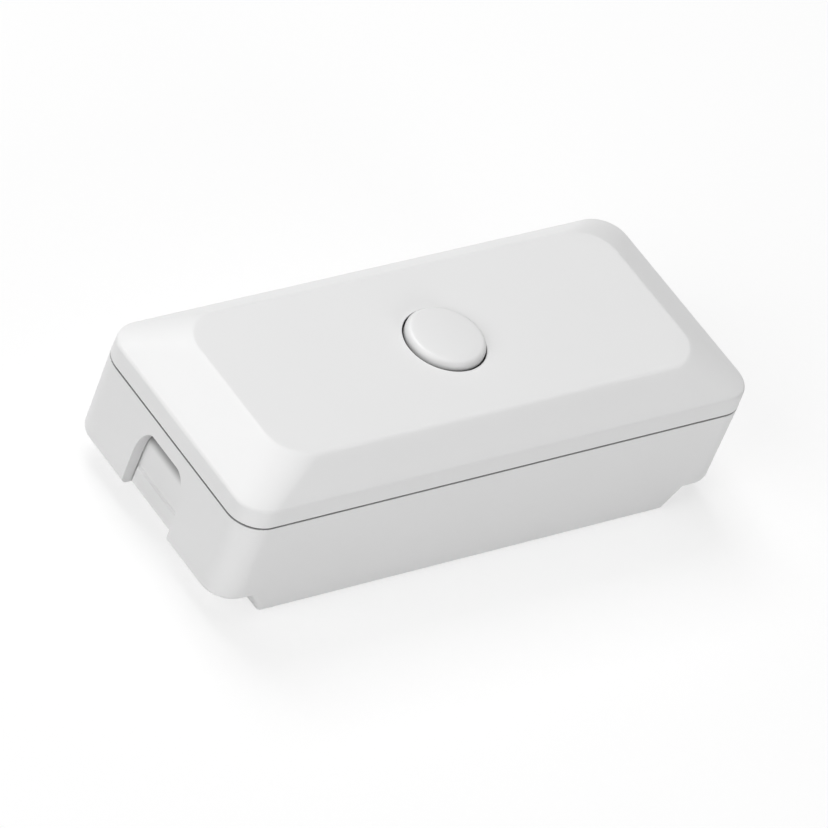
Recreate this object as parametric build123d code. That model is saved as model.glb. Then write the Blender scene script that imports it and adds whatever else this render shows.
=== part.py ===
from build123d import *
import os

# Inline cord dimmer, in millimetres.
# X runs along the housing, Y across it towards the back, Z up.
# The origin is the middle of the flat belly that the dimmer rests on.

# Housing outline
body_length = 90.0
body_width = 38.7
corner_radius = 4.7
parting_height = 18.1
parting_gap = 0.3
wall = 2.0
wall_draft = 0.7
end_edge_radius = 1.1

# Top cover
cover_rise = 7.3
rim_height = 3.1
rim_draft = 0.1
end_slope_run = 7.8
side_slope_run = 5.0
flat_corner_radius = 6.0
rim_blend_radius = 0.7
flat_blend_radius = 1.5
base_rim_radius = 0.2

# Belly: the middle of the underside stands lower than its two ends
belly_setback = 9.1
belly_drop = 3.65
belly_slope_run = 2.55
belly_edge_radius = 1.0
belly_corner_radius = 0.6

# Lap joint between base and cover
tongue_thickness = 0.9
tongue_height = 2.0
lap_clearance = 0.15

# Cord entries
notch_width = 11.8
notch_drop = 2.7
notch_corner_run = 2.9
notch_corner_rise = 6.0
grommet_gap = 0.3
grommet_thickness = 3.0
grommet_flange = 1.9
grommet_clearance = 0.15
grommet_foot_gap = 0.15
grommet_top_gap = 1.2
grommet_web = 0.8
grommet_band_height = 3.0
grommet_band_step = 0.3
cord_diameter = 6.4
cord_height = 9.4
guide_rib = 1.5
guide_lip = 1.2
guide_height = 9.0

# Cord clamps
clamp_setback = 9.8
clamp_length = 5.0
clamp_seat_height = 10.0
clamp_thickness = 2.4
clamp_arch = 2.0
clamp_bite = 0.3
clamp_screw_pitch = 17.0
clamp_boss_radius = 2.6
saddle_width = 8.0
saddle_length = 3.0

# Screws: shank and head radii, head height and drive recess
housing_screw_radius = 1.45
housing_screw_head = 2.7
housing_screw_head_height = 2.0
housing_screw_length = 17.0
small_screw_radius = 1.1
small_screw_head = 2.1
small_screw_head_height = 1.4
small_screw_length = 5.0
thread_clearance = 0.05
shank_clearance = 0.2
recess_depth = 0.7

# Screw towers that tie the cover to the base
tower_end_room = 16.5
tower_side_room = 5.65
tower_radius = 3.1
tower_foot_radius = 4.4
tower_foot_height = 5.0
tower_top = 14.0
head_recess_depth = 3.0
head_clearance = 0.3

# Push button
hole_radius = 6.25
hole_edge_radius = 0.15
button_gap = 0.25
button_proud = 1.35
button_dome = 0.3
button_edge_radius = 1.0
button_travel = 0.8
button_skin = 1.4
button_skirt = 1.2
flange_overhang = 1.0
flange_thickness = 1.2
flange_gap = 0.05
flange_key_width = 3.0
flange_key_reach = 1.1
stem_radius = 2.0
collar_clearance = 0.25
collar_wall = 1.3
collar_length = 3.4

# Circuit board
board_end_room = 14.0
board_side_gap = 0.85
board_thickness = 1.6
board_height = 7.0
board_corner_radius = 2.0
board_tower_gap = 0.6
post_end_room = 9.0
post_side_room = 2.4
post_radius = 2.5
sheet_thickness = 0.4
sheet_gap = 0.4

# Push switch under the button
switch_size = 6.0
switch_height = 3.5
switch_base = 0.6
switch_lid = 0.75
switch_bore = 1.75
plunger_clearance = 0.05
plunger_top = 14.0
plunger_foot_radius = 2.2
plunger_foot_height = 1.0
dome_spare = 0.25
dome_thickness = 0.12
press_gap = 0.05
foot_side_gap = 0.2

# Terminal blocks
terminal_end_room = 5.0
terminal_length = 8.0
terminal_pitch = 5.2
terminal_height = 10.0
terminal_wall = 0.9
cage_height = 7.0
cage_clearance = 0.1
wire_bore = 1.5
terminal_screw_radius = 1.2
terminal_screw_length = 4.0

# Choke
choke_end_room = 16.4
choke_side_room = 8.4
choke_core_outer = 5.2
choke_core_inner = 2.7
choke_core_height = 4.6
wire_thickness = 0.7
wire_gap = 0.05
winding_turns = 14
winding_sweep = 300.0

# Capacitors, varistor and fuse
film_size = (12.4, 5.0, 11.0)
film_x = 12.4
film_side_room = 7.4
electrolytic_radius = 3.15
electrolytic_height = 11.5
electrolytic_end_room = 13.0
electrolytic_side_room = 12.0
varistor_radius = 4.5
varistor_thickness = 3.4
varistor_x = 12.0
varistor_gap = 0.5
fuse_radius = 3.4
fuse_height = 7.6
fuse_x = 1.6
fuse_side_room = 5.9
lead_radius = 0.35
lead_rise = 1.0

# Power stage
spreader_post_room = 4.3
spreader_margin = 0.5
spreader_thickness = 1.5
spreader_foot = 3.2
spreader_side_room = 4.5
transistor_pitch = 18.6
case_size = (7.8, 2.7, 10.8)
case_hole_setback = 3.8
leg_size = (0.8, 0.5, 2.5)
leg_pitch = 2.3
chip_size = (10.0, 4.0, 1.7)
chip_place = (11.6, 3.2)
chip_legs = 8
chip_leg_pitch = 1.2
bridge_size = (4.8, 3.8, 2.4)
bridge_place = (-6.2, 3.3)
bridge_legs = 2
bridge_leg_pitch = 2.6

# Levels and reaches worked out from the sizes above
flat_length = body_length - 2 * end_slope_run
flat_width = body_width - 2 * side_slope_run
belly_length = body_length - 2 * belly_setback
base_top = parting_height - parting_gap / 2
cover_bottom = parting_height + parting_gap / 2
flat_level = parting_height + cover_rise
rim_level = parting_height + rim_height
ceiling = flat_level - wall
end_floor = belly_drop + wall
notch_top = parting_height - notch_drop
grommet_face = body_length / 2 - wall - grommet_gap
grommet_back = grommet_face - grommet_thickness
grommet_half = notch_width / 2 + grommet_flange
grommet_top = base_top - grommet_top_gap
clamp_x = body_length / 2 - clamp_setback
tower_x = body_length / 2 - tower_end_room
tower_y = body_width / 2 - tower_side_room
board_length = body_length - 2 * board_end_room
board_width = body_width - 2 * wall - 2 * board_side_gap
board_top = board_height + board_thickness
post_x = board_length / 2 - post_end_room
post_y = board_width / 2 - post_side_room
terminal_x = board_length / 2 - terminal_end_room
choke_x = choke_end_room - board_length / 2
choke_y = choke_side_room - board_width / 2
film_place = (film_x, film_side_room - board_width / 2)
varistor_place = (
    varistor_x, film_place[1] + film_size[1] / 2 + varistor_gap + varistor_thickness / 2
)
fuse_place = (fuse_x, fuse_side_room - board_width / 2)
electrolytic_place = (
    electrolytic_end_room - board_length / 2, board_width / 2 - electrolytic_side_room
)
spreader_y = board_width / 2 - spreader_side_room
spreader_length = 2 * (post_x - spreader_post_room)
spreader_height = leg_size[2] + case_size[2] + spreader_margin
flange_radius = hole_radius + flange_overhang
button_radius = hole_radius - button_gap
stem_foot = plunger_top + press_gap
dome_rise = button_travel + dome_spare


def plan(length, width, radius, level):
    """A rounded rectangle at a given height."""
    return Pos(0, 0, level) * RectangleRounded(length, width, radius)


def disc(x, y, low, high, radius):
    """An upright cylinder between two heights."""
    return Pos(x, y, low) * extrude(Circle(radius), high - low)


def block(x, y, low, high, length, width):
    """An upright box between two heights."""
    return Pos(x, y, low) * extrude(Rectangle(length, width), high - low)


def corners(x, y):
    """Four places, mirrored in both midplanes."""
    return [(sx * x, sy * y) for sx in (-1, 1) for sy in (-1, 1)]


def both_ends(feature):
    """A feature at the right end with its mirror image at the left end."""
    return feature + mirror(feature, Plane.YZ)


def belly_profile(inset, low, high):
    """The belly seen from the front, between two heights, a wall's inset inside its slopes."""
    slope = belly_slope_run / belly_drop
    shift = inset * (1 + slope**2) ** 0.5
    near = belly_length / 2 - shift + slope * low
    far = belly_length / 2 - shift + slope * high
    return Plane.XZ * Polyline((-near, low), (near, low), (far, high), (-far, high), close=True)


def belly_solid(inset, low, high, width):
    """The belly profile carried across the housing."""
    return extrude(make_face(belly_profile(inset, low, high)), width / 2, both=True)


def base_form():
    """The outside of the base: a tub, drafted towards its bottom, and a belly flush with its walls."""
    walls = extrude(
        plan(body_length, body_width, corner_radius, base_top), -base_top, taper=wall_draft
    )
    tub = walls & block(0, 0, belly_drop, base_top, body_length, body_width)
    bottom = tub.edges().filter_by_position(Axis.Z, belly_drop - 0.01, belly_drop + 0.01)
    tub = fillet(bottom, end_edge_radius)
    rim = tub.edges().filter_by_position(Axis.Z, base_top - 0.01, base_top + 0.01)
    tub = fillet(rim, base_rim_radius)

    belly_top = belly_drop + 2 * belly_edge_radius
    belly = belly_solid(0, 0, belly_top, body_width) & walls
    upper = belly.edges().filter_by_position(Axis.Z, belly_top - 0.01, belly_top + 0.01)
    outline = (belly.edges() - upper).filter_by(Axis.Y, reverse=True)
    belly = fillet(outline, belly_edge_radius)
    lower = belly.edges().filter_by(Axis.Y).filter_by_position(Axis.Z, -0.01, 0.01)
    return tub + fillet(lower, belly_corner_radius)


def notch_cutter(inner_x):
    """The cord notch of the right end: open below, with tall elliptical shoulders."""
    half = notch_width / 2
    shoulder = notch_top - notch_corner_rise
    run = half - notch_corner_run
    quarter = {"x_radius": notch_corner_run, "y_radius": notch_corner_rise, "arc_size": 90}
    right = EllipticalCenterArc((run, shoulder), start_angle=0, **quarter)
    left = EllipticalCenterArc((-run, shoulder), start_angle=90, **quarter)
    outline = [
        Line((half, 0), (half, shoulder)),
        right,
        Line((run, notch_top), (-run, notch_top)),
        left,
        Line((-half, shoulder), (-half, 0)),
        Line((-half, 0), (half, 0)),
    ]
    face = make_face(Plane.YZ * Curve(outline))
    return Pos(inner_x, 0, 0) * extrude(face, body_length / 2 + wall - inner_x)


def guide_ribs():
    """The channel at the right end that holds the grommet against the end wall."""
    side = grommet_half + grommet_clearance
    back = grommet_back - grommet_clearance
    length = body_length / 2 - wall - back + guide_lip
    middle = back - guide_lip + length / 2
    top = end_floor + guide_height
    ribs = []
    for way in (-1, 1):
        rib = block(middle, way * (side + guide_rib / 2), belly_drop, top, length, guide_rib)
        lip_width = guide_rib + guide_lip
        lip_y = way * (side + guide_rib - lip_width / 2)
        ribs += [rib, block(back - guide_lip / 2, lip_y, belly_drop, top, guide_lip, lip_width)]
    return ribs


def cord_saddle():
    """The rib at the right end that the cord lies on, hollowed to its radius."""
    rib = block(clamp_x, 0, wall / 2, cord_height, saddle_length, saddle_width)
    cord = Pos(clamp_x, 0, cord_height) * Rot(0, 90, 0) * Cylinder(cord_diameter / 2, 2 * saddle_length)
    return rib - cord


def base_housing():
    form = base_form()
    hollow = extrude(
        plan(body_length - 2 * wall, body_width - 2 * wall, corner_radius - wall, end_floor),
        base_top - end_floor + tongue_height,
    )
    hollow += belly_solid(wall, wall, end_floor + 1, body_width - 2 * wall)
    shell = form - hollow

    tongue_length = body_length - 2 * (wall - tongue_thickness)
    tongue_width = body_width - 2 * (wall - tongue_thickness)
    tongue_radius = corner_radius - wall + tongue_thickness
    tongue = extrude(
        plan(tongue_length, tongue_width, tongue_radius, base_top - wall), tongue_height + wall
    )
    shell += tongue - hollow

    inside = [cord_saddle(), mirror(cord_saddle(), Plane.YZ)]
    for rib in guide_ribs():
        inside += [rib, mirror(rib, Plane.YZ)]
    for x, y in corners(tower_x, tower_y):
        inside.append(disc(x, y, wall / 2, tower_top, tower_radius))
        inside.append(disc(x, y, wall / 2, tower_foot_height, tower_foot_radius))
    for x, y in corners(clamp_x, clamp_screw_pitch / 2):
        inside.append(disc(x, y, wall / 2, clamp_seat_height, clamp_boss_radius))
    for x, y in corners(post_x, post_y):
        inside.append(disc(x, y, wall / 2, board_height, post_radius))
    for feature in inside:
        shell += feature & form

    slot_end = grommet_back - grommet_clearance
    shell -= both_ends(notch_cutter(slot_end))
    for x, y in corners(tower_x, tower_y):
        shell -= disc(x, y, 0, tower_top, housing_screw_radius + shank_clearance)
        shell -= disc(x, y, 0, head_recess_depth, housing_screw_head + head_clearance)
    for x, y in corners(clamp_x, clamp_screw_pitch / 2):
        shell -= disc(
            x, y, clamp_seat_height - small_screw_length, clamp_seat_height,
            small_screw_radius + thread_clearance,
        )
    for x, y in corners(post_x, post_y):
        shell -= disc(x, y, wall, board_height, small_screw_radius + thread_clearance)
    return shell


def cover_form(inset):
    """The cover's outside, or a form a wall's thickness inside it."""
    rise = cover_rise - rim_height

    def flat_inset(run):
        """How far the flat's edge moves in, so that the sloped wall keeps its thickness."""
        return inset * ((run**2 + rise**2) ** 0.5 - run) / rise

    def rim_drop(run):
        """How far the rim's top moves down for the same reason."""
        return inset * ((run**2 + rise**2) ** 0.5 - rise) / run

    low = cover_bottom
    deepest = max(rim_drop(end_slope_run), rim_drop(side_slope_run))
    rim = rim_level - deepest if inset else rim_level
    top = flat_level - inset
    foot = plan(body_length - 2 * inset, body_width - 2 * inset, corner_radius - inset, low)
    rim_inset = 2 * (inset + rim_draft)
    rim_radius = corner_radius - inset - rim_draft
    band = plan(body_length - rim_inset, body_width - rim_inset, rim_radius, rim)
    flat = plan(
        flat_length - 2 * flat_inset(end_slope_run), flat_width - 2 * flat_inset(side_slope_run),
        flat_corner_radius - flat_inset(side_slope_run), top,
    )
    return loft([foot, band], ruled=True) + loft([band, flat], ruled=True)


def cover_outside():
    """The cover's outside with its two soft edge lines."""
    form = cover_form(0)
    top = form.edges().filter_by_position(Axis.Z, flat_level - 0.01, flat_level + 0.01)
    form = fillet(top, flat_blend_radius)
    rim = form.edges().filter_by_position(Axis.Z, rim_level - 0.01, rim_level + 0.01)
    return fillet(rim, rim_blend_radius)


def key_block(x_reach, width, low, high):
    """A pair of radial keys along X, reaching out to a radius."""
    return block(0, 0, low, high, 2 * x_reach, width)


def top_cover():
    form = cover_outside()
    shell = form - cover_form(wall)
    collar_inner = flange_radius + collar_clearance
    collar_outer = collar_inner + collar_wall
    inside = [disc(0, 0, ceiling - collar_length, flat_level - wall / 2, collar_outer)]
    for x, y in corners(tower_x, tower_y):
        inside.append(disc(x, y, cover_bottom, flat_level, tower_radius))
    for feature in inside:
        shell += feature & form
    for x, y in corners(tower_x, tower_y):
        shell += disc(x, y, tower_top, cover_bottom, tower_radius)

    shell -= disc(0, 0, ceiling - collar_length, ceiling, collar_inner)
    reach = flange_radius + flange_key_reach + collar_clearance
    key_width = flange_key_width + 2 * collar_clearance
    shell -= key_block(reach, key_width, ceiling - collar_length, ceiling)
    shell -= disc(0, 0, ceiling, flat_level, hole_radius)
    hole = shell.edges().filter_by(GeomType.CIRCLE).filter_by_position(
        Axis.Z, flat_level - 0.01, flat_level + 0.01
    )
    hole_rim = hole.filter_by(lambda edge: abs(edge.radius - hole_radius) < hole_edge_radius)
    shell = fillet(hole_rim, hole_edge_radius)
    pilot_top = head_recess_depth + housing_screw_length + lap_clearance
    for x, y in corners(tower_x, tower_y):
        shell -= disc(x, y, tower_top, pilot_top, housing_screw_radius + thread_clearance)

    rebate = tongue_thickness + lap_clearance
    lap = extrude(
        plan(
            body_length - 2 * (wall - rebate), body_width - 2 * (wall - rebate),
            corner_radius - wall + rebate, cover_bottom,
        ),
        tongue_height - parting_gap + lap_clearance,
    )
    lap -= extrude(
        plan(body_length - 2 * wall, body_width - 2 * wall, corner_radius - wall, cover_bottom),
        tongue_height,
    )
    return shell - lap


def push_button():
    """A domed cap on a retaining flange, with two keys and a stem to the switch."""
    crown = flat_level + button_proud
    shoulder = crown - button_dome
    flange_top = ceiling - flange_gap
    flange_low = flange_top - flange_thickness
    under = shoulder - button_skin
    inner = button_radius - button_skirt
    profile = [
        (0, stem_foot),
        (stem_radius, stem_foot),
        (stem_radius, under),
        (inner, under),
        (inner, flange_low),
        (flange_radius, flange_low),
        (flange_radius, flange_top),
        (button_radius, flange_top),
        (button_radius, shoulder),
    ]
    dome = ThreePointArc(
        (button_radius, shoulder), (button_radius / 2, crown - button_dome / 4), (0, crown)
    )
    edge = Polyline(*profile) + dome + Line((0, crown), (0, stem_foot))
    cap = revolve(make_face(Plane.XZ * edge), Axis.Z)
    rim = cap.edges().filter_by_position(Axis.Z, shoulder - 0.01, shoulder + 0.01)
    cap = fillet(rim, button_edge_radius)
    keys = key_block(flange_radius + flange_key_reach, flange_key_width, flange_low, flange_top)
    keys -= disc(0, 0, flange_low, flange_top, flange_radius - flange_overhang)
    return cap + keys


def cord_grommet(side):
    """The soft plug of a cord entry: a flanged plate with a foot and a blind cord hole."""
    middle = (grommet_face + grommet_back) / 2
    plate = block(middle, 0, end_floor, grommet_top, grommet_thickness, 2 * grommet_half)
    shoulders = plate.edges().filter_by(Axis.X).group_by(Axis.Z)[-1]
    plate = fillet(shoulders, grommet_flange)
    foot_width = notch_width - 2 * grommet_clearance
    foot_low = belly_drop + grommet_foot_gap
    foot = block(middle, 0, foot_low, end_floor, grommet_thickness, foot_width)
    band_x = grommet_face + grommet_band_step / 2
    band_top = foot_low + grommet_band_height
    band = block(band_x, 0, foot_low, band_top, grommet_band_step, foot_width)
    ridge = band.edges().filter_by(Axis.Y).group_by(Axis.Z)[-1].sort_by(Axis.X)[-1]
    band = chamfer(ridge, grommet_band_step * 0.9)
    plug = plate + foot + band
    depth = grommet_thickness - grommet_web
    plug -= Pos(grommet_back + depth / 2, 0, cord_height) * Rot(0, 90, 0) * Cylinder(
        cord_diameter / 2, depth
    )
    return plug if side > 0 else mirror(plug, Plane.YZ)


def cord_clamp(side):
    """An arched bar that presses the cord into its saddle."""
    top = clamp_seat_height + clamp_thickness
    width = clamp_screw_pitch + 2 * clamp_boss_radius
    bar = block(clamp_x, 0, clamp_seat_height, top, clamp_length, width)
    upright = bar.edges().filter_by(Axis.Z)
    bar = fillet(upright, clamp_length / 2 - 0.1)
    across = Pos(clamp_x, 0, cord_height) * Rot(0, 90, 0)
    bore = cord_diameter / 2 - clamp_bite
    arch = across * Cylinder(bore + clamp_arch, clamp_length)
    arch &= block(clamp_x, 0, clamp_seat_height, top + body_width, clamp_length, width)
    bar = bar + arch - across * Cylinder(bore, clamp_length)
    for way in (-1, 1):
        hole_radius_here = small_screw_radius + shank_clearance
        y = way * clamp_screw_pitch / 2
        bar -= disc(clamp_x, y, clamp_seat_height, top, hole_radius_here)
    return bar if side > 0 else mirror(bar, Plane.YZ)


def screw(x, y, seat, radius, head, head_height, length, facing=1):
    """A pan head screw with a cross recess, its head's seat at a height, pointing down or up."""
    shank = disc(0, 0, -length, 0, radius)
    tip = shank.edges().group_by(Axis.Z)[0]
    shank = chamfer(tip, radius * 0.5)
    cap = disc(0, 0, 0, head_height, head)
    rim = cap.edges().group_by(Axis.Z)[-1]
    cap = fillet(rim, head_height * 0.6)
    cross = block(0, 0, head_height - recess_depth, head_height, head * 1.1, head * 0.25)
    cross += block(0, 0, head_height - recess_depth, head_height, head * 0.25, head * 1.1)
    piece = shank + cap - cross
    if facing < 0:
        piece = Rot(180, 0, 0) * piece
    return Pos(x, y, seat) * piece


def housing_screws():
    """Four long screws that go up through the towers into the cover."""
    return [
        screw(
            x, y, head_recess_depth, housing_screw_radius, housing_screw_head,
            housing_screw_head_height, housing_screw_length, facing=-1,
        )
        for x, y in corners(tower_x, tower_y)
    ]


def small_screw(x, y, seat, length):
    return screw(
        x, y, seat, small_screw_radius, small_screw_head, small_screw_head_height, length
    )


def clamp_screws(side):
    seat = clamp_seat_height + clamp_thickness
    return [
        small_screw(side * clamp_x, way * clamp_screw_pitch / 2, seat, small_screw_length)
        for way in (-1, 1)
    ]


def board_screws():
    length = small_screw_length - 1
    return [small_screw(x, y, board_top, length) for x, y in corners(post_x, post_y)]


def circuit_board():
    board = extrude(
        plan(board_length, board_width, board_corner_radius, board_height), board_thickness
    )
    for x, y in corners(tower_x, tower_y):
        board -= disc(x, y, board_height, board_top, tower_radius + board_tower_gap)
        edge_x = x + (board_length if x > 0 else -board_length) / 4
        board -= block(
            edge_x, y, board_height, board_top, board_length / 2, 2 * (tower_radius + board_tower_gap)
        )
        edge_y = y + (board_width if y > 0 else -board_width) / 4
        board -= block(
            x, edge_y, board_height, board_top, 2 * (tower_radius + board_tower_gap), board_width / 2
        )
    for x, y in corners(post_x, post_y):
        board -= disc(x, y, board_height, board_top, small_screw_radius + shank_clearance)
    return board


def insulation_sheet():
    """The flat sheet between the board's solder side and the belly."""
    width = body_width - 2 * wall - 2 * sheet_gap
    sheet = block(0, 0, wall, wall + sheet_thickness, board_length, width)
    for x, y in corners(tower_x, tower_y):
        sheet -= disc(x, y, wall, wall + sheet_thickness, tower_foot_radius + sheet_gap)
    for x, y in corners(post_x, post_y):
        sheet -= disc(x, y, wall, wall + sheet_thickness, post_radius + sheet_gap)
    pieces = sheet.solids().sort_by(SortBy.VOLUME)
    return pieces[-1]


def switch_body():
    body = block(0, 0, board_top, board_top + switch_height, switch_size, switch_size)
    body = chamfer(body.edges().filter_by(Axis.Z), switch_size * 0.08)
    low = board_top + switch_base
    high = board_top + switch_height - switch_lid
    body -= disc(0, 0, low, high, plunger_foot_radius + foot_side_gap)
    return body - disc(0, 0, high, board_top + switch_height, switch_bore)


def switch_plunger():
    low = board_top + switch_base + dome_rise + press_gap
    foot = disc(0, 0, low, low + plunger_foot_height, plunger_foot_radius)
    stem = disc(0, 0, low, plunger_top, switch_bore - plunger_clearance)
    tip = stem.edges().group_by(Axis.Z)[-1]
    return foot + chamfer(tip, plunger_clearance * 4)


def sphere_cap(rim, rise, low):
    """A shallow cap of a sphere, with its rim at a height."""
    radius = (rim**2 + rise**2) / (2 * rise)
    ball = Pos(0, 0, low + rise - radius) * Sphere(radius)
    return ball & block(0, 0, low, low + rise, 2 * rim, 2 * rim)


def snap_dome():
    """The thin metal dome that gives the click and lifts the plunger again."""
    low = board_top + switch_base
    dome = sphere_cap(plunger_foot_radius, dome_rise, low)
    return dome - sphere_cap(
        plunger_foot_radius - dome_thickness, dome_rise - dome_thickness, low
    )


def terminal_ways():
    return [way * terminal_pitch / 2 for way in (-1, 1)]


def terminal_block(side):
    """A two-way block with wire mouths outwards, screw wells above and pockets for the cages."""
    top = board_top + terminal_height
    pocket = terminal_pitch - terminal_wall
    width = 2 * terminal_pitch + terminal_wall
    body = block(terminal_x, 0, board_top, top, terminal_length, width)
    upper = body.edges().filter_by(Axis.Y).group_by(Axis.Z)[-1]
    body = chamfer(upper, terminal_wall)
    for y in terminal_ways():
        body -= block(terminal_x, y, board_top, board_top + cage_height, pocket, pocket)
        body -= disc(terminal_x, y, board_top, top, terminal_screw_radius + 3 * shank_clearance)
        mouth_height = board_top + cage_height * 0.4
        mouth = Pos(terminal_x + terminal_length / 4, y, mouth_height) * Rot(0, 90, 0)
        body -= mouth * Cylinder(wire_bore, terminal_length / 2)
    return body if side > 0 else mirror(body, Plane.YZ)


def terminal_cages(side):
    """Two brass cages, each with a wire bore and a screw hole."""
    size = terminal_pitch - terminal_wall - 2 * cage_clearance
    wire_height = board_top + cage_height * 0.4
    top = board_top + cage_height - cage_clearance
    thread = terminal_screw_radius + thread_clearance
    cages = []
    for y in terminal_ways():
        cage = block(terminal_x, y, board_top, top, size, size)
        wire = Pos(terminal_x, y, wire_height) * Rot(0, 90, 0)
        cage -= wire * Cylinder(wire_bore, size)
        cage -= disc(terminal_x, y, wire_height, top, thread)
        cages.append(cage if side > 0 else mirror(cage, Plane.YZ))
    return cages


def terminal_screws(side):
    """Slotted grub screws standing in the cages."""
    top = board_top + cage_height + terminal_screw_length * 0.3
    radius = terminal_screw_radius
    screws = []
    for y in terminal_ways():
        grub = disc(terminal_x, y, top - terminal_screw_length, top, radius)
        grub -= block(terminal_x, y, top - recess_depth, top, 2 * radius, radius * 0.4)
        screws.append(grub if side > 0 else mirror(grub, Plane.YZ))
    return screws


def choke_middle():
    return board_top + wire_gap + wire_thickness + choke_core_height / 2


def choke_core():
    core = Pos(choke_x, choke_y, choke_middle()) * (
        Cylinder(choke_core_outer, choke_core_height) - Cylinder(choke_core_inner, choke_core_height)
    )
    rims = core.edges().filter_by(GeomType.CIRCLE)
    return fillet(rims, choke_core_height * 0.1)


def choke_winding():
    """Flat-sided turns of enamelled wire round the core, spread over most of the ring."""
    inner = choke_core_inner - wire_gap
    outer = choke_core_outer + wire_gap
    span = outer - inner
    tall = choke_core_height + 2 * wire_gap
    turns = []
    for number in range(winding_turns):
        angle = winding_sweep * (number / (winding_turns - 1) - 0.5)
        middle = Pos((inner + outer) / 2, 0, 0)
        turn = middle * Box(span + 2 * wire_thickness, wire_thickness, tall + 2 * wire_thickness)
        turn -= middle * Box(span, wire_thickness, tall)
        turns.append(Pos(choke_x, choke_y, choke_middle()) * Rot(0, 0, angle) * turn)
    return turns


def lead_pair(x, y, pitch, along_x=True):
    """Two wire leads from the board up to a component's underside."""
    places = [(x - pitch / 2, y), (x + pitch / 2, y)]
    if not along_x:
        places = [(x, y - pitch / 2), (x, y + pitch / 2)]
    leads = [disc(px, py, board_top, board_top + lead_rise, lead_radius) for px, py in places]
    return leads[0] + leads[1]


def film_capacitor():
    length, width, height = film_size
    x, y = film_place
    low = board_top + lead_rise
    case = block(x, y, low, board_top + height, length, width)
    case = fillet(case.edges(), width * 0.08)
    return case + lead_pair(x, y, length * 0.8)


def electrolytic_capacitor():
    """A sleeved can with a crimp groove near its foot and a bevelled top."""
    x, y = electrolytic_place
    low = board_top + lead_rise * 0.3
    radius = electrolytic_radius
    can = disc(x, y, low, low + electrolytic_height, radius)
    can = fillet(can.edges(), radius * 0.1)
    groove = Pos(x, y, low + electrolytic_height * 0.12) * Torus(radius, radius * 0.08)
    leads = [
        disc(x + way * radius * 0.45, y, board_top, low + radius * 0.1, lead_radius)
        for way in (-1, 1)
    ]
    return can - groove + leads[0] + leads[1]


def varistor():
    x, y = varistor_place
    middle = board_top + lead_rise + varistor_radius
    body = Pos(x, y, middle) * Rot(90, 0, 0) * Cylinder(varistor_radius, varistor_thickness)
    body = fillet(body.edges().filter_by(GeomType.CIRCLE), varistor_thickness * 0.3)
    pitch = varistor_radius
    leads = [
        disc(x + way * pitch / 2, y, board_top, middle - varistor_radius * 0.5, lead_radius)
        for way in (-1, 1)
    ]
    return body + leads[0] + leads[1]


def fuse():
    x, y = fuse_place
    low = board_top + lead_rise * 0.4
    body = disc(x, y, low, low + fuse_height, fuse_radius)
    body = fillet(body.edges().group_by(Axis.Z)[-1], fuse_radius * 0.12)
    leads = [
        disc(x, y + way * fuse_radius * 0.6, board_top, low, lead_radius)
        for way in (-1, 1)
    ]
    return body + leads[0] + leads[1]


def transistor_places():
    return [-transistor_pitch / 2, transistor_pitch / 2]


def through_spreader(x, radius, thickness, middle_y):
    """A cylinder across the transistor and the spreader, at the screw's height."""
    height = board_top + leg_size[2] + case_size[2] - case_hole_setback
    return Pos(x, middle_y, height) * Rot(90, 0, 0) * Cylinder(radius, thickness)


def heat_spreader():
    """A folded aluminium angle that stands on the board behind the power transistors."""
    height = board_top + spreader_height
    mid_y = spreader_y + spreader_thickness / 2
    upright = block(0, mid_y, board_top, height, spreader_length, spreader_thickness)
    foot_y = spreader_y + spreader_foot / 2
    foot_top = board_top + spreader_thickness
    angle = upright + block(0, foot_y, board_top, foot_top, spreader_length, spreader_foot)
    bend = angle.edges().filter_by(Axis.X).filter_by_position(Axis.Z, board_top - 0.01, board_top + 0.01)
    angle = fillet(bend.sort_by(Axis.Y)[0], spreader_thickness * 0.8)
    for x in transistor_places():
        angle -= through_spreader(x, small_screw_radius + thread_clearance, spreader_thickness, mid_y)
    return angle


def power_transistor(x):
    """A flat-backed package with a screw hole and three legs."""
    case_width, case_depth, case_height = case_size
    leg_width, leg_depth, leg_length = leg_size
    low = board_top + leg_length
    case_y = spreader_y - case_depth / 2
    case = block(x, case_y, low, low + case_height, case_width, case_depth)
    front = case.edges().group_by(Axis.Y)[0]
    piece = chamfer(front, case_depth * 0.15)
    piece -= through_spreader(x, small_screw_radius + shank_clearance, case_depth, case_y)
    for number in (-1, 0, 1):
        piece += block(x + number * leg_pitch, case_y, board_top, low, leg_width, leg_depth)
    return piece


def transistor_screws():
    """Two short screws that clamp the packages to the spreader."""
    depth = case_size[1]
    height = board_top + leg_size[2] + case_size[2] - case_hole_setback
    length = depth + spreader_thickness
    screws = []
    for x in transistor_places():
        piece = small_screw(0, 0, 0, length)
        screws.append(Pos(x, spreader_y - depth, height) * Rot(90, 0, 0) * piece)
    return screws


def legged_chip(size, place, legs, pitch):
    """A surface-mounted package with bent legs along its two long sides."""
    length, width, height = size
    x, y = place
    stand = height * 0.08
    foot = height * 0.12
    body = block(x, y, board_top + stand, board_top + height, length, width)
    body = chamfer(body.edges().group_by(Axis.Z)[-1], height * 0.12)
    for number in range(legs):
        leg_x = x + (number - (legs - 1) / 2) * pitch
        for way in (-1, 1):
            leg_y = y + way * (width / 2 + height * 0.25)
            body += block(leg_x, leg_y, board_top, board_top + foot, pitch * 0.35, height * 0.5)
            knee_y = y + way * (width / 2 + height * 0.08)
            body += block(leg_x, knee_y, board_top, board_top + height * 0.5, pitch * 0.35, height * 0.16)
    return body


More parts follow.
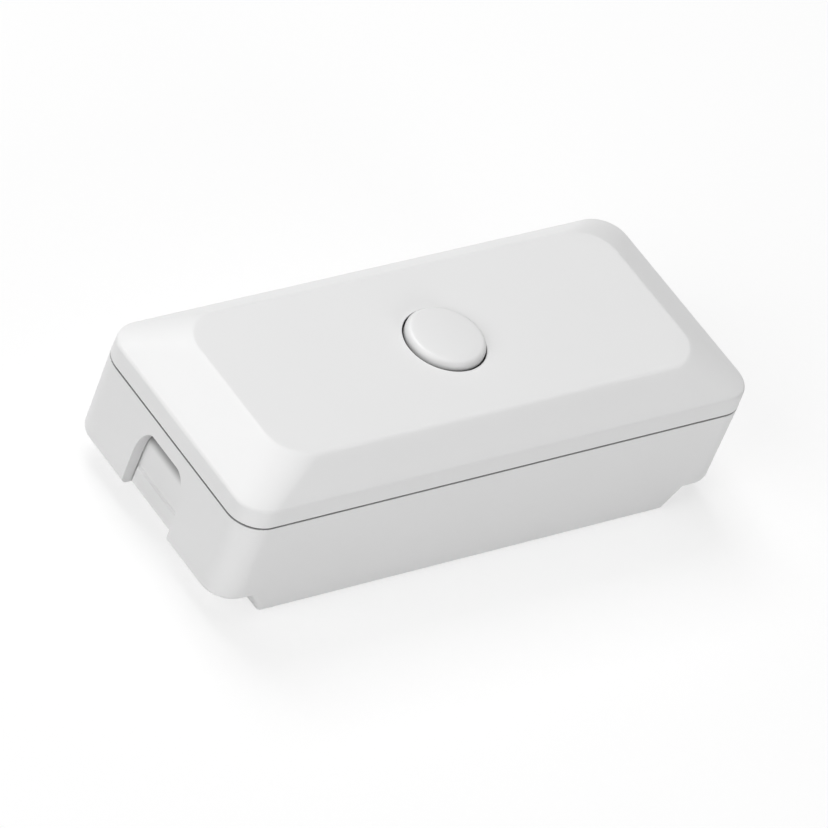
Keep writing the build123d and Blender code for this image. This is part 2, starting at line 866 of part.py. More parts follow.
parts = {
    "base_housing": base_housing(),
    "top_cover": top_cover(),
    "push_button": push_button(),
    "cord_grommet_input": cord_grommet(-1),
    "cord_grommet_output": cord_grommet(1),
    "cord_clamp_input": cord_clamp(-1),
    "cord_clamp_output": cord_clamp(1),
    "clamp_screws_input": clamp_screws(-1),
    "clamp_screws_output": clamp_screws(1),
    "housing_screws": housing_screws(),
    "circuit_board": circuit_board(),
    "board_screws": board_screws(),
    "insulation_sheet": insulation_sheet(),
    "switch_body": switch_body(),
    "switch_plunger": switch_plunger(),
    "snap_dome": snap_dome(),
    "terminal_block_input": terminal_block(-1),
    "terminal_block_output": terminal_block(1),
    "terminal_cages_input": terminal_cages(-1),
    "terminal_cages_output": terminal_cages(1),
    "terminal_screws_input": terminal_screws(-1),
    "terminal_screws_output": terminal_screws(1),
    "choke_core": choke_core(),
    "choke_winding": choke_winding(),
    "film_capacitor": film_capacitor(),
    "electrolytic_capacitor": electrolytic_capacitor(),
    "varistor": varistor(),
    "fuse": fuse(),
    "heat_spreader": heat_spreader(),
    "power_transistor_left": power_transistor(transistor_places()[0]),
    "power_transistor_right": power_transistor(transistor_places()[1]),
    "transistor_screws": transistor_screws(),
    "control_chip": legged_chip(chip_size, chip_place, chip_legs, chip_leg_pitch),
    "bridge_rectifier": legged_chip(bridge_size, bridge_place, bridge_legs, bridge_leg_pitch),
}

os.makedirs("parts", exist_ok=True)
for name, shape in parts.items():
    if isinstance(shape, list):
        shape = Compound(children=[piece.solids()[0] for piece in shape])
    export_step(shape, f"parts/{name}.step")
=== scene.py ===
import math

import bpy
import numpy as np
from mathutils import Matrix, Vector


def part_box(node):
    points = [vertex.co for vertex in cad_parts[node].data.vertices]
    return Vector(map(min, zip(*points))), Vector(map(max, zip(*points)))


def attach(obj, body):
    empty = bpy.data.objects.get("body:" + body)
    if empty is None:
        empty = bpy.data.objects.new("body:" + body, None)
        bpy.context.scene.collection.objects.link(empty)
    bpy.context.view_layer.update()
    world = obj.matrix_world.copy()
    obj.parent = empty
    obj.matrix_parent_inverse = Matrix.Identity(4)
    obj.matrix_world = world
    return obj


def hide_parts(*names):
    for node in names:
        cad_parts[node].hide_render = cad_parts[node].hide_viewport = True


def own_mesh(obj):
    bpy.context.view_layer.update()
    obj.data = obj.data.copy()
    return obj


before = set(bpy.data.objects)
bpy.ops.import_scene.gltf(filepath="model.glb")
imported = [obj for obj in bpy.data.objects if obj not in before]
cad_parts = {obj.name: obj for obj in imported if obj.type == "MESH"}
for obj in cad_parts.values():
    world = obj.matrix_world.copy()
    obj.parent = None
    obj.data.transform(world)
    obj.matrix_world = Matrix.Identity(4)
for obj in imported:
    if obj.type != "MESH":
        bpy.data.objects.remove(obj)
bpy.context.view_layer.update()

scene = bpy.context.scene
scene.view_settings.view_transform = "Standard"

# Camera
# A long lens looks down on the front long wall and the left end, and is rolled,
# so that the dimmer lies aslant across the picture.
photo_pixels = 828
camera_azimuth = math.radians(-49.12)
camera_elevation = math.radians(39.61)
camera_roll = math.radians(22.79)
camera_distance = 1.1628
pixels_per_metre = 7122.0
parting_middle_pixel = (429.21, 377.10)
parting_height = 0.0181

back = Vector((
    math.sin(camera_azimuth) * math.cos(camera_elevation),
    -math.cos(camera_azimuth) * math.cos(camera_elevation),
    math.sin(camera_elevation),
))
level_right = Vector((math.cos(camera_azimuth), math.sin(camera_azimuth), 0))
level_up = back.cross(level_right)
right = math.cos(camera_roll) * level_right + math.sin(camera_roll) * level_up
up = -math.sin(camera_roll) * level_right + math.cos(camera_roll) * level_up
aim = (
    Vector((0, 0, parting_height))
    - right * (parting_middle_pixel[0] - photo_pixels / 2) / pixels_per_metre
    - up * (photo_pixels / 2 - parting_middle_pixel[1]) / pixels_per_metre
)
camera_data = bpy.data.cameras.new("camera")
camera_data.sensor_width = 36.0
camera_data.lens = pixels_per_metre * camera_distance / photo_pixels * camera_data.sensor_width
camera = bpy.data.objects.new("camera", camera_data)
scene.collection.objects.link(camera)
turn = Matrix((right, up, back)).transposed()
camera.matrix_world = Matrix.Translation(aim + back * camera_distance) @ turn.to_4x4()
scene.camera = camera

# Floor and light
# A white floor under a wide, even studio light. Seen by the camera or in a reflection
# the floor's own light is faded and white added over it, so that it keeps a faint, soft shadow.
floor_half = 3.0
floor_colour = 0.80
floor_faded = 0.6
floor_glow = 0.70
floor_gap = 0.00005
softboxes = {  # each one's place and size in metres, and its power in watts
    "left_softbox": ((-0.9, -0.1, 0.55), (0.7, 0.7), 5.4),
    "back_softbox": ((0.0, 0.7, 1.0), (0.6, 0.6), 8.1),
    "front_softbox": ((0.1, -1.1, 0.2), (0.6, 0.6), 5.4),
    "top_softbox": ((0.0, 0.1, 1.2), (0.8, 0.8), 3.1),
}


class Shade:
    """A value in a shader tree. Python's operators on it add the Math nodes."""

    def __init__(self, tree, socket=None):
        self.tree, self.socket = tree, socket

    def node(self, kind, settings=None, inputs=None, output=0):
        """Adds a node of any type: its settings first, then its inputs as values or links."""
        made = self.tree.nodes.new(kind)
        for name, value in (settings or {}).items():
            setattr(made, name, value)
        for name, value in (inputs or {}).items():
            if isinstance(value, Shade):
                self.tree.links.new(value.socket, made.inputs[name])
            else:
                made.inputs[name].default_value = value
        return Shade(self.tree, made.outputs[output])

    def math(self, operation, second=0.0, third=0.0):
        """Adds a Math node of a named operation, with this value first."""
        return self.node("ShaderNodeMath", {"operation": operation}, {0: self, 1: second, 2: third})

    def into(self, socket):
        """Links the value to another node's input."""
        self.tree.links.new(self.socket, socket)

    def __add__(self, other):
        return self.math("ADD", other)

    def __mul__(self, other):
        return self.math("MULTIPLY", other)

    def __sub__(self, other):
        return self.math("SUBTRACT", other)

    def __rsub__(self, other):
        return self.math("MULTIPLY_ADD", -1.0, other)

    __radd__, __rmul__ = __add__, __mul__


def fresh_tree(owner):
    """Empties the shader tree of a material or world, and gives a Shade to add nodes with."""
    owner.use_nodes = True
    owner.node_tree.nodes.clear()
    return Shade(owner.node_tree)


def seen_rays(start):
    """1 for what the camera sees, also mirrored or through glass, and 0 for all other light."""
    kinds = ("Is Camera Ray", "Is Glossy Ray", "Is Transmission Ray")
    direct, mirrored, through = (start.node("ShaderNodeLightPath", output=kind) for kind in kinds)
    return (direct + mirrored + through).math("MINIMUM", 1.0)


floor_mesh = bpy.data.meshes.new("floor")
floor_mesh.from_pydata(
    [(floor_half * x, floor_half * y, -floor_gap) for x, y in ((-1, -1), (1, -1), (1, 1), (-1, 1))],
    [], [(0, 1, 2, 3)],
)
floor = bpy.data.objects.new("floor", floor_mesh)
scene.collection.objects.link(floor)

floor_material = bpy.data.materials.new("studio_floor")
start = fresh_tree(floor_material)
whiter = seen_rays(start)
matt = start.node("ShaderNodeBsdfDiffuse", inputs={"Color": (floor_colour, floor_colour, floor_colour, 1)})
faded = start.node("ShaderNodeMixShader", inputs={0: whiter * floor_faded, 1: matt})
glow = start.node("ShaderNodeEmission", inputs={"Strength": whiter * floor_glow})
both = start.node("ShaderNodeAddShader", inputs={0: faded, 1: glow})
clear = start.node("ShaderNodeBsdfTransparent")
under = start.node("ShaderNodeNewGeometry", output="Backfacing")
one_sided = start.node("ShaderNodeMixShader", inputs={0: under, 1: both, 2: clear})
one_sided.into(start.tree.nodes.new("ShaderNodeOutputMaterial").inputs["Surface"])
floor_mesh.materials.append(floor_material)

world = bpy.data.worlds.new("studio")
start = fresh_tree(world)
sky = start.node("ShaderNodeBackground", inputs={"Color": (1, 1, 1, 1), "Strength": seen_rays(start)})
sky.into(start.tree.nodes.new("ShaderNodeOutputWorld").inputs["Surface"])
scene.world = world

for name, (place, size, power) in softboxes.items():
    lamp_data = bpy.data.lights.new(name, "AREA")
    lamp_data.shape = "RECTANGLE"
    lamp_data.size, lamp_data.size_y = size
    lamp_data.energy = power
    lamp = bpy.data.objects.new(name, lamp_data)
    scene.collection.objects.link(lamp)
    lamp.location = place
    lamp.visible_camera = False
    lamp.rotation_mode = "QUATERNION"
    lamp.rotation_quaternion = Vector(place).to_track_quat("Z", "Y")

# Base housing
# A deep tub with a lowered belly, injection moulded in white ABS. Its tool was spark eroded,
# which leaves a very fine matt grain. The ledge and tongue behind the groove below the cover
# carry a painted shade.
housing_colour = (0.83, 0.83, 0.83)
housing_roughness = 0.5
housing_grain = 0.00012
housing_relief = 0.000004
rim_turn = 0.01783
groove_low = 0.01791
groove_high = 0.01826
# share of the painted shade in the groove that is held back
groove_painted_shade = 0.34
smooth_angle = math.radians(32)
weld_reach = 0.000001
clouds_per_metre = 60.0
cloud_pale = 1.01
cloud_dull = 0.985
# share of the colour that painted shade darkens to, in gaps and grooves
painted_shade_tone = 0.1
grain_spread = 0.06

smoothing = bpy.data.node_groups.new("smooth_by_angle", "GeometryNodeTree")
for way in ("INPUT", "OUTPUT"):
    smoothing.interface.new_socket(name="Geometry", in_out=way, socket_type="NodeSocketGeometry")
start = Shade(smoothing)
shape = start.node("NodeGroupInput")
faces = start.node(
    "GeometryNodeSetShadeSmooth", {"domain": "FACE"}, {"Geometry": shape, "Shade Smooth": True}
)
bend = start.node("GeometryNodeInputMeshEdgeAngle", output="Unsigned Angle")
sharp = start.node("FunctionNodeCompare", {"operation": "GREATER_THAN"}, {0: bend, 1: smooth_angle})
edged = start.node(
    "GeometryNodeSetShadeSmooth", {"domain": "EDGE"},
    {"Geometry": faces, "Selection": sharp, "Shade Smooth": False},
)
edged.into(smoothing.nodes.new("NodeGroupOutput").inputs["Geometry"])


def dress(node, material):
    """Gives a CAD node its material, and shades its rounded faces smooth."""
    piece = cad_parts[node]
    piece.data.materials.clear()
    piece.data.materials.append(material)
    weld = piece.modifiers.new("weld", "WELD")
    weld.merge_threshold = weld_reach
    smooth = piece.modifiers.new("smooth", "NODES")
    smooth.node_group = smoothing
    normals = piece.modifiers.new("normals", "WEIGHTED_NORMAL")
    normals.keep_sharp = True


def principled(name, colour, roughness, metallic=0.0):
    """A new material with one Principled shader: gives both, and the place on the piece as a Shade."""
    material = bpy.data.materials.new(name)
    start = fresh_tree(material)
    shader = start.tree.nodes.new("ShaderNodeBsdfPrincipled")
    end = start.tree.nodes.new("ShaderNodeOutputMaterial")
    start.tree.links.new(shader.outputs["BSDF"], end.inputs["Surface"])
    shader.inputs["Base Color"].default_value = (*colour, 1)
    shader.inputs["Roughness"].default_value = roughness
    shader.inputs["Metallic"].default_value = metallic
    return material, shader, start.node("ShaderNodeTexCoord", output="Object")


def axes(place):
    """The three parts of a place, in metres."""
    return (place.node("ShaderNodeSeparateXYZ", inputs={0: place}, output=axis) for axis in "XYZ")


def noise(place, scale, detail):
    """A cloudy pattern from 0 to 1, with a given number of patches to the metre."""
    return place.node("ShaderNodeTexNoise", inputs={"Vector": place, "Scale": scale, "Detail": detail})


def ramp(value, low, high):
    """A number that goes softly from 0 at one value to 1 at another."""
    return value.node(
        "ShaderNodeMapRange", {"interpolation_type": "SMOOTHSTEP"},
        {"Value": value, "From Min": low, "From Max": high},
    )


def toned(colour, share):
    """A colour with each of its parts multiplied by a share, up to white."""
    return tuple(min(1.0, part * share) for part in colour)


def blend(factor, first, second):
    """A colour between two colours, each a tuple or a link."""
    first, second = ((*tone, 1) if isinstance(tone, tuple) else tone for tone in (first, second))
    return factor.node(
        "ShaderNodeMix", {"data_type": "RGBA"}, {"Factor": factor, 6: first, 7: second}, output=2
    )


def finish(shader, tint, roughness, height, relief):
    """Links a colour, a roughness and a raised pattern of a depth in metres to the shader."""
    tint.into(shader.inputs["Base Color"])
    roughness.into(shader.inputs["Roughness"])
    raised = height.node("ShaderNodeBump", inputs={"Height": height, "Distance": relief})
    raised.into(shader.inputs["Normal"])


def moulded(name, colour, roughness, grain, relief, dark=None):
    """Moulded plastic with a grain of a given size and depth in metres and a faint cloudiness.

    The function dark(x, y, z) gives the share of painted shade: 0 on the open surface and 1 deep in a gap.
    """
    material, shader, place = principled(name, colour, roughness)
    clouds = noise(place, clouds_per_metre, detail=3.0)
    fine = noise(place, 1 / grain, detail=4.0)
    tint = blend(clouds, toned(colour, cloud_dull), toned(colour, cloud_pale))
    # painted shade: the colour darkens in gaps and grooves, as far as dark(x, y, z) gives
    if dark:
        tint = blend(dark(*axes(place)), tint, toned(colour, painted_shade_tone))
    finish(shader, tint, fine * grain_spread + (roughness - grain_spread / 2), fine, relief)
    return material


def base_painted_groove_shade(x, y, z):
    """Painted shade on the ledge and the foot of the tongue behind the parting groove, fading in over the
    rim.
    """
    return ramp(z, rim_turn, groove_low) * z.math("LESS_THAN", groove_high) * (1 - groove_painted_shade)


dress("base_housing", moulded(
    "housing_plastic", housing_colour, housing_roughness, housing_grain, housing_relief, dark=base_painted_groove_shade
))

# Top cover
# The chamfered lid, moulded in the same white ABS. It laps over the base's tongue, and the round
# hole in its flat top guides the push button, with a narrow gap. The wall of the hole and the
# lid's edge over the groove carry a painted shade.
hole_radius = 0.00625
gap_depth = 0.0002
# share of the colour kept in the painted shade of the gap round the button
gap_painted_shade = 0.05
cover_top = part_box("top_cover")[1][2]


def cover_painted_shade(x, y, z):
    """Painted shade on the wall of the button's hole, below its rounded mouth, and on the edge over the
    groove.
    """
    out = (x * x + y * y).math("SQRT")
    near = out.math("LESS_THAN", hole_radius + gap_depth)
    below = z.math("LESS_THAN", cover_top - gap_depth)
    low = z.math("LESS_THAN", groove_high)
    return (near * below * (1 - gap_painted_shade)).math("MAXIMUM", low * (1 - groove_painted_shade))


dress("top_cover", moulded(
    "cover_plastic", housing_colour, housing_roughness, housing_grain, housing_relief, dark=cover_painted_shade
))

# Push button
# A round domed cap with a soft rim, moulded in white ABS from a finer, smoother tool. A flange
# below the cover keeps it in, and its stem presses the switch on the board.
# The cap's side carries a painted shade, deep in the gap and fading up to its rim.
button_colour = (0.83, 0.83, 0.83)
button_roughness = 0.38
button_grain = 0.0002
button_relief = 0.000002
side_painted_shade = 0.42
side_height = 0.0012


def button_painted_shade(x, y, z):
    """Painted shade on the cap's side: deep in the gap below the cover's top, and fading up from it to the
    cap's rim.
    """
    inside = (1 - ramp(z, cover_top - 2 * gap_depth, cover_top)) * (1 - gap_painted_shade)
    side = (1 - ramp(z, cover_top, cover_top + side_height)) * side_painted_shade
    return inside.math("MAXIMUM", side)


dress("push_button", moulded(
    "button_plastic", button_colour, button_roughness, button_grain, button_relief, dark=button_painted_shade
))

# Cord grommets
# One closed plug in each cord notch, moulded in a soft white plastic, more matt than the housing.
# Each stands behind the end wall between two ribs. A painted shadow darkens its face
# right under the notch's upper edge.
grommet_colour = (0.83, 0.83, 0.83)
grommet_roughness = 0.6
grommet_grain = 0.0002
grommet_relief = 0.000004
# heights over which the painted shadow on the plug's face fades in and out, and its depth
painted_shadow_from = 0.0108
painted_shadow_to = 0.0128
painted_shadow_end = 0.0132
painted_shadow_depth = 0.75


def grommet_painted_shadow(x, y, z):
    """Painted shadow on the part of the plug's face right under the notch's upper edge."""
    under = ramp(z, painted_shadow_from, painted_shadow_to)
    behind = ramp(z, painted_shadow_to, painted_shadow_end)
    return under * (1 - behind) * painted_shadow_depth


rubber = moulded(
    "grommet_rubber", grommet_colour, grommet_roughness, grommet_grain, grommet_relief, dark=grommet_painted_shadow
)
for end in ("input", "output"):
    dress(f"cord_grommet_{end}", rubber)

# Screws
# Zinc plated steel, bright with a faint haze and fine turned lines. Four long ones close the
# housing from below and small ones hold the board, clamps and transistors, all with a cross
# recess. Slotted grub screws clamp the wires.
zinc_colour = (0.62, 0.62, 0.61)
haze_per_metre = 900.0
haze_tone = 0.9
haze_spread = 0.14
line_spread = 0.06
line_relief = 0.000003


def metal(name, colour, roughness, line, across="Z"):
    """Bright metal with fine lines of a given width across an axis, and a dull, uneven haze."""
    material, shader, place = principled(name, colour, roughness, metallic=1.0)
    along = dict(zip("XYZ", axes(place)))[across] * (1 / line)
    lines = place.node("ShaderNodeTexNoise", {"noise_dimensions": "1D"}, {"W": along, "Detail": 2.0})
    haze = noise(place, haze_per_metre, detail=4.0)
    dulled = haze * haze_spread + lines * line_spread + (roughness - (haze_spread + line_spread) / 2)
    finish(shader, blend(haze, toned(colour, haze_tone), colour), dulled, lines, line_relief)
    return material


steel = metal("screw_steel", zinc_colour, roughness=0.32, line=0.0001)
for node in ("housing_screws", "board_screws", "transistor_screws", "clamp_screws_input",
             "clamp_screws_output", "terminal_screws_input", "terminal_screws_output"):
    dress(node, steel)

# Threads of the housing screws
# The rolled thread that cuts its own way into the cover's towers: one ridge that winds up round
# each shank, from the middle of the screw nearly to its tip, and fades out at both ends.
screw_head_radius = 0.0027
thread_pitch = 0.0011
thread_turns = 7
thread_root = 0.0014
thread_crest = 0.00028
thread_flank = 0.0003
thread_end_share = 0.05
thread_steps = 40
thread_tip_gap = 0.0012


def corners(node):
    """The lowest and highest corner of a CAD node."""
    return [Vector(corner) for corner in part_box(node)]


def grid_mesh(name, rows, material):
    """A mesh of quads from a grid of points, rows x sides x 3, closed round and capped at both ends."""
    count, sides = rows.shape[:2]
    row, side = np.meshgrid(np.arange(count - 1), np.arange(sides), indexing="ij")
    here, above = row * sides, (row + 1) * sides
    after = (side + 1) % sides
    quads = np.stack([here + side, here + after, above + after, above + side], -1)
    caps = [list(range(sides))[::-1], list(range((count - 1) * sides, count * sides))]
    mesh = bpy.data.meshes.new(name)
    mesh.from_pydata(rows.reshape(-1, 3).tolist(), [], quads.reshape(-1, 4).tolist() + caps)
    mesh.polygons.foreach_set("use_smooth", np.ones(len(mesh.polygons), dtype=bool))
    mesh.materials.append(material)
    return mesh


def new_piece(mesh):
    """A new piece of the housing's body, named as its mesh."""
    piece = bpy.data.objects.new(mesh.name, mesh)
    scene.collection.objects.link(piece)
    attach(piece, "housing")
    return piece


def thread_ridge(x, y, top):
    """A ridge of three-sided section on a helix: its height rises by the pitch with each turn.

    The section shrinks towards both ends, over half a turn.
    """
    angle = np.linspace(0, 2 * np.pi * thread_turns, thread_turns * thread_steps + 1)
    height = top - thread_pitch * thread_turns + thread_pitch * angle / (2 * np.pi)
    fade = np.clip(np.minimum(angle, angle[::-1]) / np.pi, thread_end_share, 1)
    section = np.array([(0, thread_flank), (thread_crest, 0), (0, -thread_flank)])
    out = thread_root + section[None, :, 0] * fade[:, None]
    rise = height[:, None] + section[None, :, 1] * fade[:, None]
    return np.stack([x + out * np.cos(angle)[:, None], y + out * np.sin(angle)[:, None], rise], -1)


screws_high = corners("housing_screws")[1]
for number, (side_x, side_y) in enumerate(((-1, -1), (-1, 1), (1, -1), (1, 1))):
    x = side_x * (screws_high.x - screw_head_radius)
    y = side_y * (screws_high.y - screw_head_radius)
    ridge = thread_ridge(x, y, screws_high.z - thread_tip_gap)
    new_piece(grid_mesh(f"screw_thread_{number + 1}", ridge, steel))

# Cord clamps
# Two arched bars over the cord saddles, moulded in white polyamide, a little yellower than the
# housing. Each is held down by a screw on either side of the cord.
clamp = moulded("clamp_plastic", (0.78, 0.78, 0.75), roughness=0.55, grain=0.00025, relief=0.000006)
for end in ("input", "output"):
    dress(f"cord_clamp_{end}", clamp)

# Circuit board
# Glass laminate under a green solder resist, with the weave just visible and pale copper tracks
# that show through as lighter bands. It is screwed onto four posts in the base.
board_green = (0.03, 0.20, 0.08)
track_green = (0.06, 0.30, 0.13)
board_roughness = 0.35
tracks_per_metre = 190.0
track_width = 0.012
track_shift = 0.37
track_relief = 0.00003
weave_per_metre = 1500.0
weave_spread = 0.05

laminate, shader, place = principled("board_laminate", board_green, board_roughness)
tracks = place.node(
    "ShaderNodeTexBrick", {"offset": track_shift},
    {"Vector": place, "Scale": tracks_per_metre, "Mortar Size": track_width,
     "Color1": (0, 0, 0, 1), "Color2": (0, 0, 0, 1), "Mortar": (1, 1, 1, 1)},
)
weave = place.node("ShaderNodeTexChecker", inputs={"Vector": place, "Scale": weave_per_metre}, output="Fac")
woven = weave * weave_spread + (board_roughness - weave_spread)
finish(shader, blend(tracks, board_green, track_green), woven, tracks, track_relief)
dress("circuit_board", laminate)

# Insulation sheet
# A pale pressboard film on the floor of the base, punched out round the posts of the board,
# with short fibres that lie along the housing.
film_colour = (0.72, 0.69, 0.60)
film_pale = (0.78, 0.75, 0.67)
film_dull = (0.66, 0.62, 0.52)
film_roughness = 0.7
fibres_per_metre = 1600.0
fibre_stretch = 4.0
fibre_spread = 0.2
fibre_relief = 0.00001

film, shader, place = principled("insulation_film", film_colour, film_roughness)
drawn = place.node(
    "ShaderNodeVectorMath", {"operation": "MULTIPLY"}, {0: place, 1: (1.0, fibre_stretch, 1.0)}
)
fibres = noise(drawn, fibres_per_metre, detail=3.0)
furry = fibres * fibre_spread + (film_roughness - fibre_spread / 2)
finish(shader, blend(fibres, film_dull, film_pale), furry, fibres, fibre_relief)
dress("insulation_sheet", film)

# Push switch
# A black moulded body with an off-white plunger over a snap dome, soldered to the board. The dome
# is stamped from thin spring steel and drawn at rest; the real one flattens under the plunger.
black = (0.025, 0.025, 0.027)
dome_sheet = 0.00012
dome_pole = 0.00002
dome_rings = 20
dome_sides = 64
dome_low, dome_high = corners("snap_dome")
dome_rise = dome_high.z - dome_low.z


def dome_shell():
    """Two sphere caps on one level, joined at the rim: radius (rim^2 + rise^2) / (2 rise) each.

    The rows go down the inner cap from its pole to the rim, and up the outer one to its pole.
    A tiny flat closes each pole.
    """
    rim = (dome_high.x - dome_low.x) / 2
    rows = []
    for inset, order in ((dome_sheet, 1), (0.0, -1)):
        radius = ((rim - inset) ** 2 + (dome_rise - inset) ** 2) / (2 * (dome_rise - inset))
        tilt = np.linspace(math.asin(dome_pole / radius), math.asin((rim - inset) / radius), dome_rings)
        height = dome_high.z - inset - radius * (1 - np.cos(tilt))
        rows.append(np.stack([radius * np.sin(tilt), height], -1)[::order])
    out, level = np.concatenate(rows).T[:, :, None]
    spin = np.linspace(0, 2 * np.pi, dome_sides, endpoint=False)[None, :]
    return np.stack(np.broadcast_arrays(out * np.cos(spin), out * np.sin(spin), level), -1)


dress("switch_body", moulded("black_plastic", black, roughness=0.5, grain=0.00015, relief=0.000005))
dress("switch_plunger", moulded(
    "plunger_plastic", (0.80, 0.80, 0.76), roughness=0.4, grain=0.0002, relief=0.000003
))
dome_steel = metal("dome_steel", (0.64, 0.63, 0.60), roughness=0.25, line=0.00006, across="X")
dress("snap_dome", dome_steel)
dome = new_piece(grid_mesh("click_dome", dome_shell(), dome_steel))
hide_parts("snap_dome")
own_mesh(dome)

# Terminal blocks
# Green polyamide blocks at both ends of the board, with nickelled brass cages in their pockets
# that take the cord's wires.
terminal_green = moulded(
    "terminal_plastic", (0.06, 0.27, 0.14), roughness=0.45, grain=0.00025, relief=0.000006
)
brass = metal("terminal_brass", (0.78, 0.66, 0.40), roughness=0.3, line=0.00012, across="Y")
for end in ("input", "output"):
    dress(f"terminal_block_{end}", terminal_green)
    dress(f"terminal_cages_{end}", brass)

# Choke
# A ring of dark ferrite, sintered and speckled, wound with one layer of enamelled copper wire.
# It lies flat on the board, on its winding.
ferrite_colour = (0.045, 0.045, 0.048)
ferrite_dark = (0.03, 0.03, 0.032)
ferrite_pale = (0.075, 0.073, 0.07)
ferrite_roughness = 0.6
speckles_per_metre = 3500.0
speckle_spread = 0.3
speckle_relief = 0.00002
copper_colour = (0.62, 0.25, 0.09)
copper_dark = (0.50, 0.17, 0.06)
copper_pale = (0.68, 0.30, 0.12)
copper_roughness = 0.28
copper_smoothest = 0.2
copper_metallic = 0.9
enamel_per_metre = 700.0
enamel_spread = 0.15
enamel_coat = 0.6
ring_bore = 0.0027
wire_radius = 0.00035
wire_gap = 0.00005
wire_turns = 14
wire_sweep = math.radians(300)
wire_steps = 56
wire_sides = 10
wire_corner = 0.4


def winding():
    """A helix round the ring: its section is a superellipse, and its turns are spread evenly.

    The turn's angle grows with the length, and the place round the ring grows with it. A circle
    of the wire's radius is carried along, square to the path.
    """
    low, high = (np.array(corner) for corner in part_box("choke_core"))
    middle = (low + high) / 2
    ring_outer = (high[0] - low[0]) / 2
    reach = (ring_outer - ring_bore) / 2 + wire_gap + wire_radius
    rise = (high[2] - low[2]) / 2 + wire_gap + wire_radius
    part = np.linspace(0, 1, wire_turns * wire_steps + 1)
    turn = 2 * np.pi * wire_turns * part
    round_ring = wire_sweep * (part - 0.5)
    cosine, sine = np.cos(turn), np.sin(turn)
    out = (ring_outer + ring_bore) / 2 + reach * np.sign(cosine) * np.abs(cosine) ** wire_corner
    up = rise * np.sign(sine) * np.abs(sine) ** wire_corner
    path = middle + np.stack([out * np.cos(round_ring), out * np.sin(round_ring), up], -1)
    ahead = np.gradient(path, axis=0)
    ahead /= np.linalg.norm(ahead, axis=1, keepdims=True)
    sideways = np.stack([-np.sin(round_ring), np.cos(round_ring), np.zeros_like(part)], -1)
    first = np.cross(sideways, ahead)
    first /= np.linalg.norm(first, axis=1, keepdims=True)
    second = np.cross(ahead, first)
    spin = np.linspace(0, 2 * np.pi, wire_sides, endpoint=False)[None, :, None]
    return path[:, None] + wire_radius * (np.cos(spin) * first[:, None] + np.sin(spin) * second[:, None])


ferrite, shader, place = principled("ferrite", ferrite_colour, ferrite_roughness)
speckle = place.node(
    "ShaderNodeTexVoronoi", inputs={"Vector": place, "Scale": speckles_per_metre}, output="Distance"
)
sintered = speckle * speckle_spread + (ferrite_roughness - speckle_spread / 2)
finish(shader, blend(speckle, ferrite_dark, ferrite_pale), sintered, speckle, speckle_relief)
dress("choke_core", ferrite)

copper, shader, place = principled("copper_wire", copper_colour, copper_roughness, copper_metallic)
enamel = noise(place, enamel_per_metre, detail=3.0)
blend(enamel, copper_dark, copper_pale).into(shader.inputs["Base Color"])
(enamel * enamel_spread + copper_smoothest).into(shader.inputs["Roughness"])
shader.inputs["Coat Weight"].default_value = enamel_coat
coil = new_piece(grid_mesh("choke_wire", winding(), copper))
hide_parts("choke_winding")
dress("choke_winding", copper)

# Capacitors, varistor and fuse
# Dipped and moulded cases that stand on the board on tinned wire leads, which show bright below
# each case. The electrolytic capacitor is an aluminium can in a dark sleeve with a pale stripe.
tin = (0.70, 0.70, 0.69)
board_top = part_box("circuit_board")[1][2]
lead_rise = 0.001
sleeve_rise = 0.0003
fuse_rise = 0.0004
peel_tone = 0.9
peel_spread = 0.1
can_low, can_high = corners("electrolytic_capacitor")
can_middle = (can_low + can_high) / 2
can_radius = (can_high.x - can_low.x) / 2
can_top_share = 0.8
can_stripe = 0.0012


def leaded(name, colour, roughness, peel, relief, rise, band=None):
    """A glossy case with an orange peel of a given size, on tinned leads of a given height."""
    material, shader, place = principled(name, colour, roughness)
    x, y, z = axes(place)
    skin = noise(place, 1 / peel, detail=2.0)
    lead = z.math("LESS_THAN", board_top + rise)
    case = blend(skin, toned(colour, peel_tone), colour)
    if band:
        case = blend(band(x, y, z), case, tin)
    lead.into(shader.inputs["Metallic"])
    uneven = skin * peel_spread + (roughness - peel_spread / 2)
    finish(shader, blend(lead, case, tin), uneven, skin, relief)
    return material


def can_band(x, y, z):
    """The bare top of the can inside its sleeve, and the pale stripe down its minus side."""
    away_x, away_y = x - can_middle.x, y - can_middle.y
    out = (away_x * away_x + away_y * away_y).math("SQRT")
    top = z.math("GREATER_THAN", can_high.z - gap_depth) * out.math("LESS_THAN", can_radius * can_top_share)
    stripe = away_y.math("ABSOLUTE").math("LESS_THAN", can_stripe) * away_x.math("LESS_THAN", 0.0)
    return top.math("MAXIMUM", stripe)


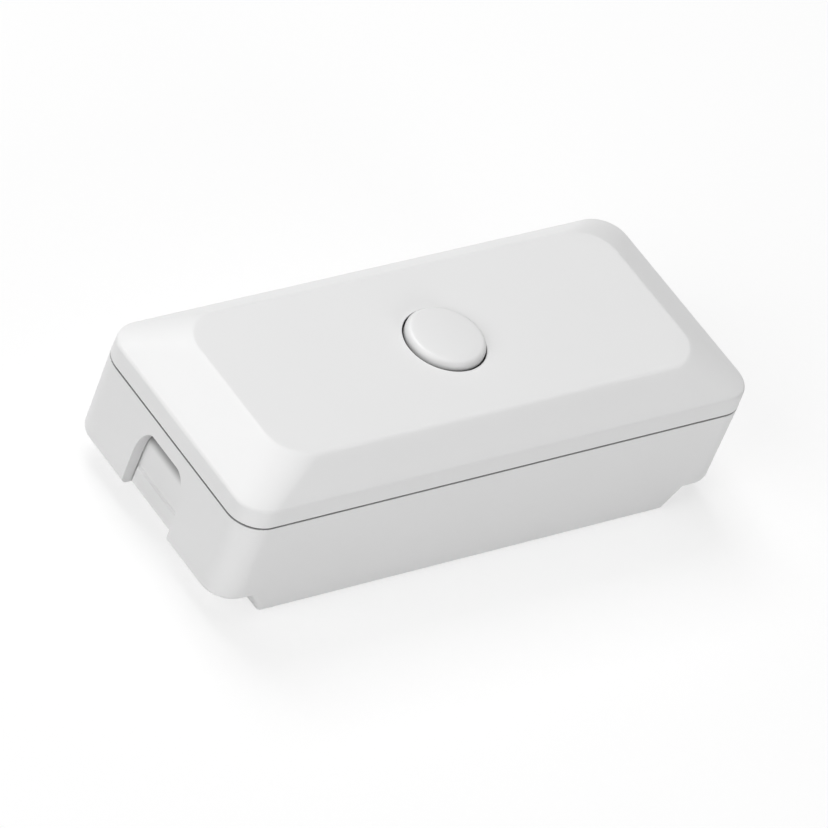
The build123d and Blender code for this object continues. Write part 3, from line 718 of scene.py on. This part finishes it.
dress("film_capacitor", leaded(
    "capacitor_case", (0.72, 0.58, 0.07), roughness=0.35, peel=0.0008, relief=0.000008, rise=lead_rise
))
dress("electrolytic_capacitor", leaded(
    "capacitor_sleeve", (0.02, 0.02, 0.05), roughness=0.3, peel=0.001, relief=0.000005,
    rise=sleeve_rise, band=can_band
))
dress("varistor", leaded(
    "varistor_coat", (0.03, 0.10, 0.38), roughness=0.25, peel=0.0009, relief=0.00002, rise=lead_rise
))
dress("fuse", leaded(
    "fuse_case", (0.22, 0.07, 0.04), roughness=0.35, peel=0.0007, relief=0.000008, rise=fuse_rise
))

# Power stage and chips
# Black moulded epoxy packages on tinned legs. Two power transistors stand against a folded strip
# of bare aluminium, and a control chip and a bridge rectifier lie on the board.
epoxy_dark = (0.018, 0.018, 0.02)
epoxy_pale = (0.034, 0.034, 0.036)
epoxy_roughness = 0.5
epoxy_smoothest = 0.38
epoxy_spread = 0.2
epoxy_grains_per_metre = 6000.0
epoxy_relief = 0.000006
leg_length = 0.0025
leg_reach = 0.00005
chip_half_width = 0.002
bridge_half_width = 0.0019


def package(name, node, leg_top, half_width=None):
    """Black epoxy, grained, with tinned legs below a height or beyond the body's half width."""
    material, shader, place = principled(name, black, epoxy_roughness)
    x, y, z = axes(place)
    fine = noise(place, epoxy_grains_per_metre, detail=4.0)
    leg = z.math("LESS_THAN", leg_top)
    if half_width:
        low, high = corners(node)
        leg = (y - (low.y + high.y) / 2).math("ABSOLUTE").math("GREATER_THAN", half_width + leg_reach)
    epoxy = blend(fine, epoxy_dark, epoxy_pale)
    leg.into(shader.inputs["Metallic"])
    grainy = fine * epoxy_spread + epoxy_smoothest
    finish(shader, blend(leg, epoxy, tin), grainy, fine, epoxy_relief)
    dress(node, material)


for side in ("left", "right"):
    package(f"transistor_epoxy_{side}", f"power_transistor_{side}", board_top + leg_length)
package("chip_epoxy", "control_chip", board_top, chip_half_width)
package("bridge_epoxy", "bridge_rectifier", board_top, bridge_half_width)
dress("heat_spreader", metal("spreader_aluminium", (0.74, 0.74, 0.75), roughness=0.4, line=0.00015))
